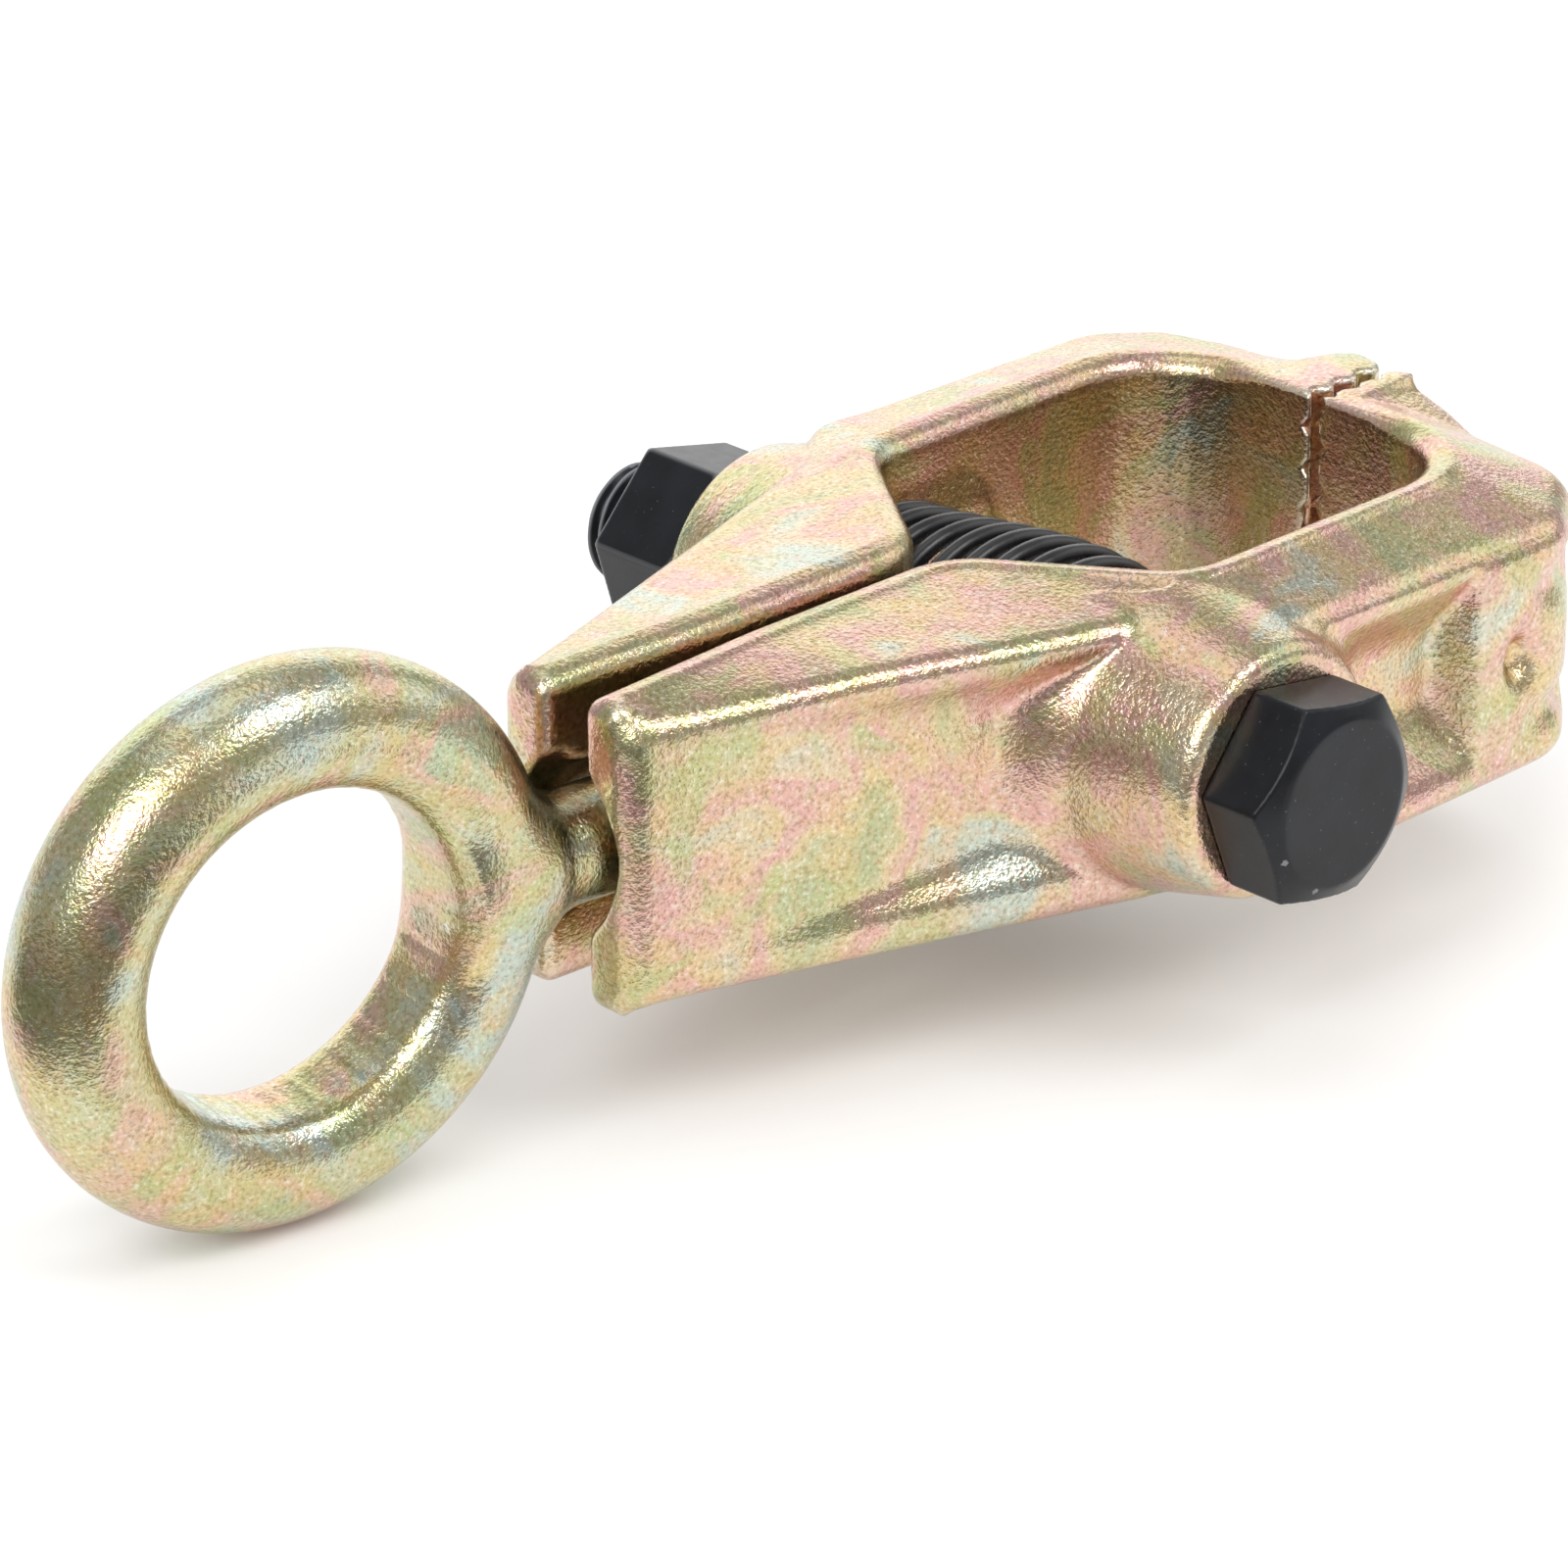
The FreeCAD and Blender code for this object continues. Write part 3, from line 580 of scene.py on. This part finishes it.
class Nodes:
    """A material's node tree, with short ways to add and join nodes."""

    def __init__(self, name):
        self.material = bpy.data.materials.new(name)
        self.material.use_nodes = True
        self.tree = self.material.node_tree
        self.shader = self.tree.nodes["Principled BSDF"]
        coordinates = self.tree.nodes.new("ShaderNodeTexCoord")
        self.place = coordinates.outputs["Object"]

    def link(self, source, target):
        self.tree.links.new(source, target)

    def noise(self, size_mm, detail=2.0, roughness=0.5, distortion=0.0, place=None):
        """Noise whose features are about size_mm across."""
        node = self.tree.nodes.new("ShaderNodeTexNoise")
        node.inputs["Scale"].default_value = 1 / (size_mm * MM)
        node.inputs["Detail"].default_value = detail
        node.inputs["Roughness"].default_value = roughness
        node.inputs["Distortion"].default_value = distortion
        self.link(place or self.place, node.inputs["Vector"])
        return node.outputs["Fac"]

    def shifted(self, offset):
        node = self.tree.nodes.new("ShaderNodeVectorMath")
        node.operation = "ADD"
        node.inputs[1].default_value = offset
        self.link(self.place, node.inputs[0])
        return node.outputs[0]

    def ramp(self, value, stops):
        """A colour ramp through stops of (position, colour or grey)."""
        node = self.tree.nodes.new("ShaderNodeValToRGB")
        elements = node.color_ramp.elements
        while len(elements) < len(stops):
            elements.new(0.5)
        for element, (position, colour) in zip(elements, stops):
            element.position = position
            element.color = (colour,) * 3 + (1,) if isinstance(colour, float) else (*colour, 1)
        self.link(value, node.inputs["Fac"])
        return node.outputs["Color"]

    def mix(self, amount, first, second, mode="MIX"):
        """Mixes two colours; amount, first and second are sockets or plain values."""
        node = self.tree.nodes.new("ShaderNodeMix")
        node.data_type = "RGBA"
        node.blend_type = mode
        values = ((node.inputs[0], amount), (node.inputs[6], first), (node.inputs[7], second))
        for socket, value in values:
            if isinstance(value, bpy.types.NodeSocket):
                self.link(value, socket)
            elif isinstance(value, tuple):
                socket.default_value = (*value, 1)
            else:
                socket.default_value = value
        return node.outputs[2]

    def math(self, operation, first, second=0.0, clamp=False):
        node = self.tree.nodes.new("ShaderNodeMath")
        node.operation = operation
        node.use_clamp = clamp
        for socket, value in zip(node.inputs, (first, second)):
            if isinstance(value, bpy.types.NodeSocket):
                self.link(value, socket)
            else:
                socket.default_value = value
        return node.outputs[0]

    def bump(self, height, depth_mm, before=None):
        node = self.tree.nodes.new("ShaderNodeBump")
        node.inputs["Strength"].default_value = 1.0
        node.inputs["Distance"].default_value = depth_mm * MM
        self.link(height, node.inputs["Height"])
        if before:
            self.link(before, node.inputs["Normal"])
        return node.outputs["Normal"]


GOLD = (0.72, 0.54, 0.25)
OLIVE = (0.50, 0.55, 0.25)
PALE_GREEN = (0.56, 0.61, 0.52)
SALMON = (0.80, 0.46, 0.37)
# Painted shade for the grain's pits and painted glints for its peaks, not colours of the zinc.
GRAIN_PIT_PAINTED_SHADE = (0.34, 0.25, 0.12)
GRAIN_PEAK_PAINTED_GLINT = (0.94, 0.88, 0.74)
# Paler edge colours: partly rubbed plating and steel, partly a painted edge highlight.
ZINC_WEAR_AND_EDGE_HIGHLIGHT = (0.88, 0.84, 0.74)
STEEL_WEAR_AND_EDGE_HIGHLIGHT = (0.26, 0.27, 0.29)
DUST = (0.16, 0.16, 0.17)


def zinc_material(name, stops, offset, grain_mm):
    """Yellow-passivated zinc on a shot-blasted forging, with rainbow tints, grain pits painted
    darker as painted shade, grain peaks painted near-white as painted glints, and paler edges that
    are partly rubbed zinc and partly a painted edge highlight.
    """
    n = Nodes(name)
    place = n.shifted(offset)
    tint = n.ramp(n.noise(24, 2.0, 0.55, 0.7, place), stops)
    drift = n.noise(9, 3.0, 0.6, 0.5, place)
    tint = n.mix(n.ramp(drift, [(0.46, 0.0), (0.64, 0.65)]), tint, GOLD)
    green = n.noise(15, 2.0, 0.5, 0.9, n.shifted((0.3 + offset[0], 0.1, 0.2)))
    tint = n.mix(n.ramp(green, [(0.53, 0.0), (0.66, 0.7)]), tint, OLIVE)
    stipple = n.noise(2.0, 2.0, 0.6, 0.0, place)
    tint = n.mix(n.ramp(stipple, [(0.54, 0.0), (0.68, 0.22)]), tint, PALE_GREEN)
    tint = n.mix(n.ramp(stipple, [(0.34, 0.25), (0.46, 0.0)]), tint, SALMON)
    grain = n.noise(grain_mm, 2.0, 0.6, 0.0, place)
    # Grain pits, the low points of the bump below, are painted darker brown: painted shade in the
    # pits.
    tint = n.mix(n.ramp(grain, [(0.34, 0.55), (0.48, 0.0)]), tint, GRAIN_PIT_PAINTED_SHADE)
    # Grain peaks, the high points of the bump below, are painted near-white: painted glints on the
    # bumps.
    tint = n.mix(n.ramp(grain, [(0.56, 0.0), (0.70, 0.5)]), tint, GRAIN_PEAK_PAINTED_GLINT)
    # Convex edges, found by pointiness, are painted paler: partly rubbed zinc, partly a painted
    # edge highlight.
    edges = n.tree.nodes.new("ShaderNodeNewGeometry").outputs["Pointiness"]
    tint = n.mix(n.ramp(edges, [(0.515, 0.0), (0.56, 0.6)]), tint, ZINC_WEAR_AND_EDGE_HIGHLIGHT)
    n.link(tint, n.shader.inputs["Base Color"])
    n.shader.inputs["Metallic"].default_value = 1.0
    rough = n.math("MULTIPLY_ADD", n.noise(5, 3.0, 0.6, 0.0, place), 0.16)
    rough.node.inputs[2].default_value = 0.15
    n.link(rough, n.shader.inputs["Roughness"])
    normal = n.bump(n.noise(6, 2.0, 0.5, 0.0, place), 0.12)
    normal = n.bump(grain, 0.16, normal)
    n.link(normal, n.shader.inputs["Normal"])
    return n.material


def oxide_material(name):
    """Black oxide on machined steel, with dust specks, and paler edges that are partly rubbed
    steel and partly a painted edge highlight.
    """
    n = Nodes(name)
    cloud = n.noise(9, 3.0, 0.6)
    colour = n.ramp(cloud, [(0.3, (0.003, 0.0035, 0.005)), (0.7, (0.009, 0.010, 0.013))])
    specks = n.noise(0.7, 1.0, 0.5)
    colour = n.mix(n.ramp(specks, [(0.74, 0.0), (0.80, 0.5)]), colour, DUST)
    # Convex edges, found by pointiness, are painted pale grey: partly rubbed oxide, partly a
    # painted edge highlight.
    edges = n.tree.nodes.new("ShaderNodeNewGeometry").outputs["Pointiness"]
    colour = n.mix(n.ramp(edges, [(0.51, 0.0), (0.55, 0.7)]), colour, STEEL_WEAR_AND_EDGE_HIGHLIGHT)
    n.link(colour, n.shader.inputs["Base Color"])
    n.shader.inputs["Metallic"].default_value = 0.0
    n.shader.inputs["Specular IOR Level"].default_value = 0.32
    rough = n.math("MULTIPLY_ADD", n.noise(3, 3.0, 0.6), 0.16)
    rough.node.inputs[2].default_value = 0.22
    n.link(rough, n.shader.inputs["Roughness"])
    normal = n.bump(n.noise(0.8, 2.0, 0.6), 0.012)
    n.link(normal, n.shader.inputs["Normal"])
    return n.material


def spring_material(name):
    """Black lacquered spring wire with faint drawing marks."""
    n = Nodes(name)
    cloud = n.noise(4, 3.0, 0.6)
    colour = n.ramp(cloud, [(0.3, (0.008, 0.008, 0.009)), (0.7, (0.018, 0.018, 0.020))])
    n.link(colour, n.shader.inputs["Base Color"])
    n.shader.inputs["Specular IOR Level"].default_value = 0.6
    rough = n.math("MULTIPLY_ADD", n.noise(2, 2.0, 0.6), 0.16)
    rough.node.inputs[2].default_value = 0.20
    n.link(rough, n.shader.inputs["Roughness"])
    n.link(n.bump(n.noise(0.9, 2.0, 0.5), 0.01), n.shader.inputs["Normal"])
    return n.material


def floor_material(name):
    """Plain pale studio board with a very faint mottle."""
    n = Nodes(name)
    colour = n.ramp(n.noise(300, 2.0), [(0.3, (0.90, 0.90, 0.90)), (0.7, (0.93, 0.93, 0.93))])
    n.link(colour, n.shader.inputs["Base Color"])
    n.shader.inputs["Roughness"].default_value = 0.9
    n.shader.inputs["Specular IOR Level"].default_value = 0.1
    return n.material


def card_material(name):
    """Matt dark board."""
    n = Nodes(name)
    n.link(n.ramp(n.noise(200, 2.0), [(0.3, 0.12), (0.7, 0.16)]), n.shader.inputs["Base Color"])
    n.shader.inputs["Roughness"].default_value = 0.9
    return n.material


JAW_TINTS = [
    (0.34, (0.50, 0.53, 0.30)),
    (0.42, (0.72, 0.58, 0.34)),
    (0.47, (0.74, 0.49, 0.39)),
    (0.54, (0.74, 0.43, 0.39)),
    (0.60, (0.74, 0.57, 0.38)),
    (0.68, (0.56, 0.62, 0.53)),
]
EYE_TINTS = [
    (0.36, (0.54, 0.63, 0.56)),
    (0.44, (0.60, 0.60, 0.39)),
    (0.50, (0.58, 0.55, 0.29)),
    (0.58, (0.73, 0.48, 0.38)),
    (0.66, (0.50, 0.57, 0.38)),
]


# ---------------------------------------------------------------- the object

front_jaw, rear_jaw = make_jaws()
eye = make_eye()
bolt = make_bolt()
nut = make_nut()
spring = make_spring()

jaw_zinc = zinc_material("zinc_forging", JAW_TINTS, (0.0, 0.0, 0.0), 0.75)
eye_zinc = zinc_material("zinc_eye", EYE_TINTS, (0.4, 0.2, 0.1), 0.75)
oxide = oxide_material("black_oxide")
lacquer = spring_material("spring_black")

for piece, body, node, slot, material in (
    (front_jaw, "front_jaw_body", "front_jaw", "zinc_forging", jaw_zinc),
    (rear_jaw, "rear_jaw_body", "rear_jaw", "zinc_forging", jaw_zinc),
    (eye, "eye_body", "pull_eye", "zinc_eye", eye_zinc),
    (bolt, "bolt_body", "clamp_bolt", "black_oxide", oxide),
    (nut, "nut_body", "clamp_nut", "black_oxide", oxide),
    (spring, None, "jaw_spring", "spring_black", lacquer),
):
    piece.data.materials.append(material)
    if body:
        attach(piece, body)
    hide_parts(node)

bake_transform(spring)


# ---------------------------------------------------------------- studio

FLOOR_SIZE = 12.0
FLOOR_GAP = 0.0003
FLAG_HEIGHT = 0.0008
WORLD_STRENGTH = 0.45
LIT_POINT = Vector((0.09, 0, 0))
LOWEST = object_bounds()[0][2]

# The camera: the point it looks at, how far away it is, and how it is turned.
AIM = Vector((0.09466, -0.00444, -0.00547))
DISTANCE = 1.1575
AZIMUTH = math.radians(44.145)
ELEVATION = math.radians(24.60)
ROLL = math.radians(-0.289)
SENSOR_MM = 36.0
LENS_MM = 180.0


def make_floor():
    """The pale floor, just under the object's lowest point."""
    low = LOWEST - FLOOR_GAP
    half = FLOOR_SIZE / 2
    corners = [(-half, -half, low), (half, -half, low), (half, half, low), (-half, half, low)]
    mesh = bpy.data.meshes.new("studio_floor")
    mesh.from_pydata(corners, [], [(0, 1, 2, 3)])
    floor = bpy.data.objects.new("studio_floor", mesh)
    bpy.context.scene.collection.objects.link(floor)
    mesh.materials.append(floor_material("studio_board"))


def softbox(name, azimuth, elevation, distance, width, height, radiance, seen=True):
    """A rectangular lamp of even radiance in a direction from the object, facing it."""
    lamp = bpy.data.lights.new(name, "AREA")
    lamp.shape = "RECTANGLE"
    lamp.size, lamp.size_y = width, height
    lamp.energy = radiance * math.pi * width * height
    lamp.use_shadow = seen
    holder = bpy.data.objects.new(name, lamp)
    bpy.context.scene.collection.objects.link(holder)
    a, e = math.radians(azimuth), math.radians(elevation)
    away = Vector((math.cos(a) * math.cos(e), math.sin(a) * math.cos(e), math.sin(e)))
    holder.location = LIT_POINT + away * distance
    holder.rotation_euler = away.to_track_quat("Z", "Y").to_euler()
    holder.visible_camera = False
    holder.visible_glossy = seen


def make_flag():
    """A dark card on the floor, left and in front, that only reflections show."""
    low = LOWEST - FLOOR_GAP + FLAG_HEIGHT
    corners = [
        (-0.10, 0.16), (-0.085, -0.03), (-0.02, -0.075), (0.06, -0.12),
        (-0.1, -2.5), (-3.0, -2.5), (-3.0, 2.0), (-0.9, 1.2),
    ]
    mesh = bpy.data.meshes.new("studio_flag")
    mesh.from_pydata([(x, y, low) for x, y in corners], [], [tuple(range(len(corners)))])
    flag = bpy.data.objects.new("studio_flag", mesh)
    bpy.context.scene.collection.objects.link(flag)
    mesh.materials.append(card_material("studio_card"))
    flag.visible_camera = False
    flag.visible_diffuse = False
    flag.visible_shadow = False


def make_world():
    """Even white light from all round."""
    world = bpy.data.worlds.new("studio")
    world.use_nodes = True
    background = world.node_tree.nodes["Background"]
    background.inputs["Color"].default_value = (1.0, 1.0, 1.0, 1)
    background.inputs["Strength"].default_value = WORLD_STRENGTH
    bpy.context.scene.world = world


def make_camera():
    """The camera, looking down at the object from its ring end."""
    data = bpy.data.cameras.new("camera")
    data.sensor_width = SENSOR_MM
    data.lens = LENS_MM
    data.clip_start, data.clip_end = 0.05, 50
    camera = bpy.data.objects.new("camera", data)
    bpy.context.scene.collection.objects.link(camera)
    turn = Matrix.Rotation(-AZIMUTH, 4, "Z") @ Matrix.Rotation(math.pi / 2 - ELEVATION, 4, "X")
    turn = turn @ Matrix.Rotation(ROLL, 4, "Z")
    place = AIM + turn.to_3x3() @ Vector((0, 0, DISTANCE))
    camera.matrix_world = Matrix.Translation(place) @ turn
    bpy.context.scene.camera = camera


make_floor()
make_world()
make_camera()
make_flag()
softbox("behind", 58, 19, 2.2, 3.0, 1.7, 1.05)
softbox("near_left", -152, 38, 1.8, 1.2, 1.0, 4.0)
softbox("near_right", -72, 50, 1.7, 0.7, 0.7, 4.2)
softbox("above", 90, 78, 1.6, 1.0, 1.0, 0.8)
softbox("right", -20, 30, 1.8, 1.2, 1.0, 0.8)
softbox("floor_light", 0, 90, 2.4, 3.0, 3.0, 0.8, seen=False)
bpy.context.scene.view_settings.view_transform = "Standard"
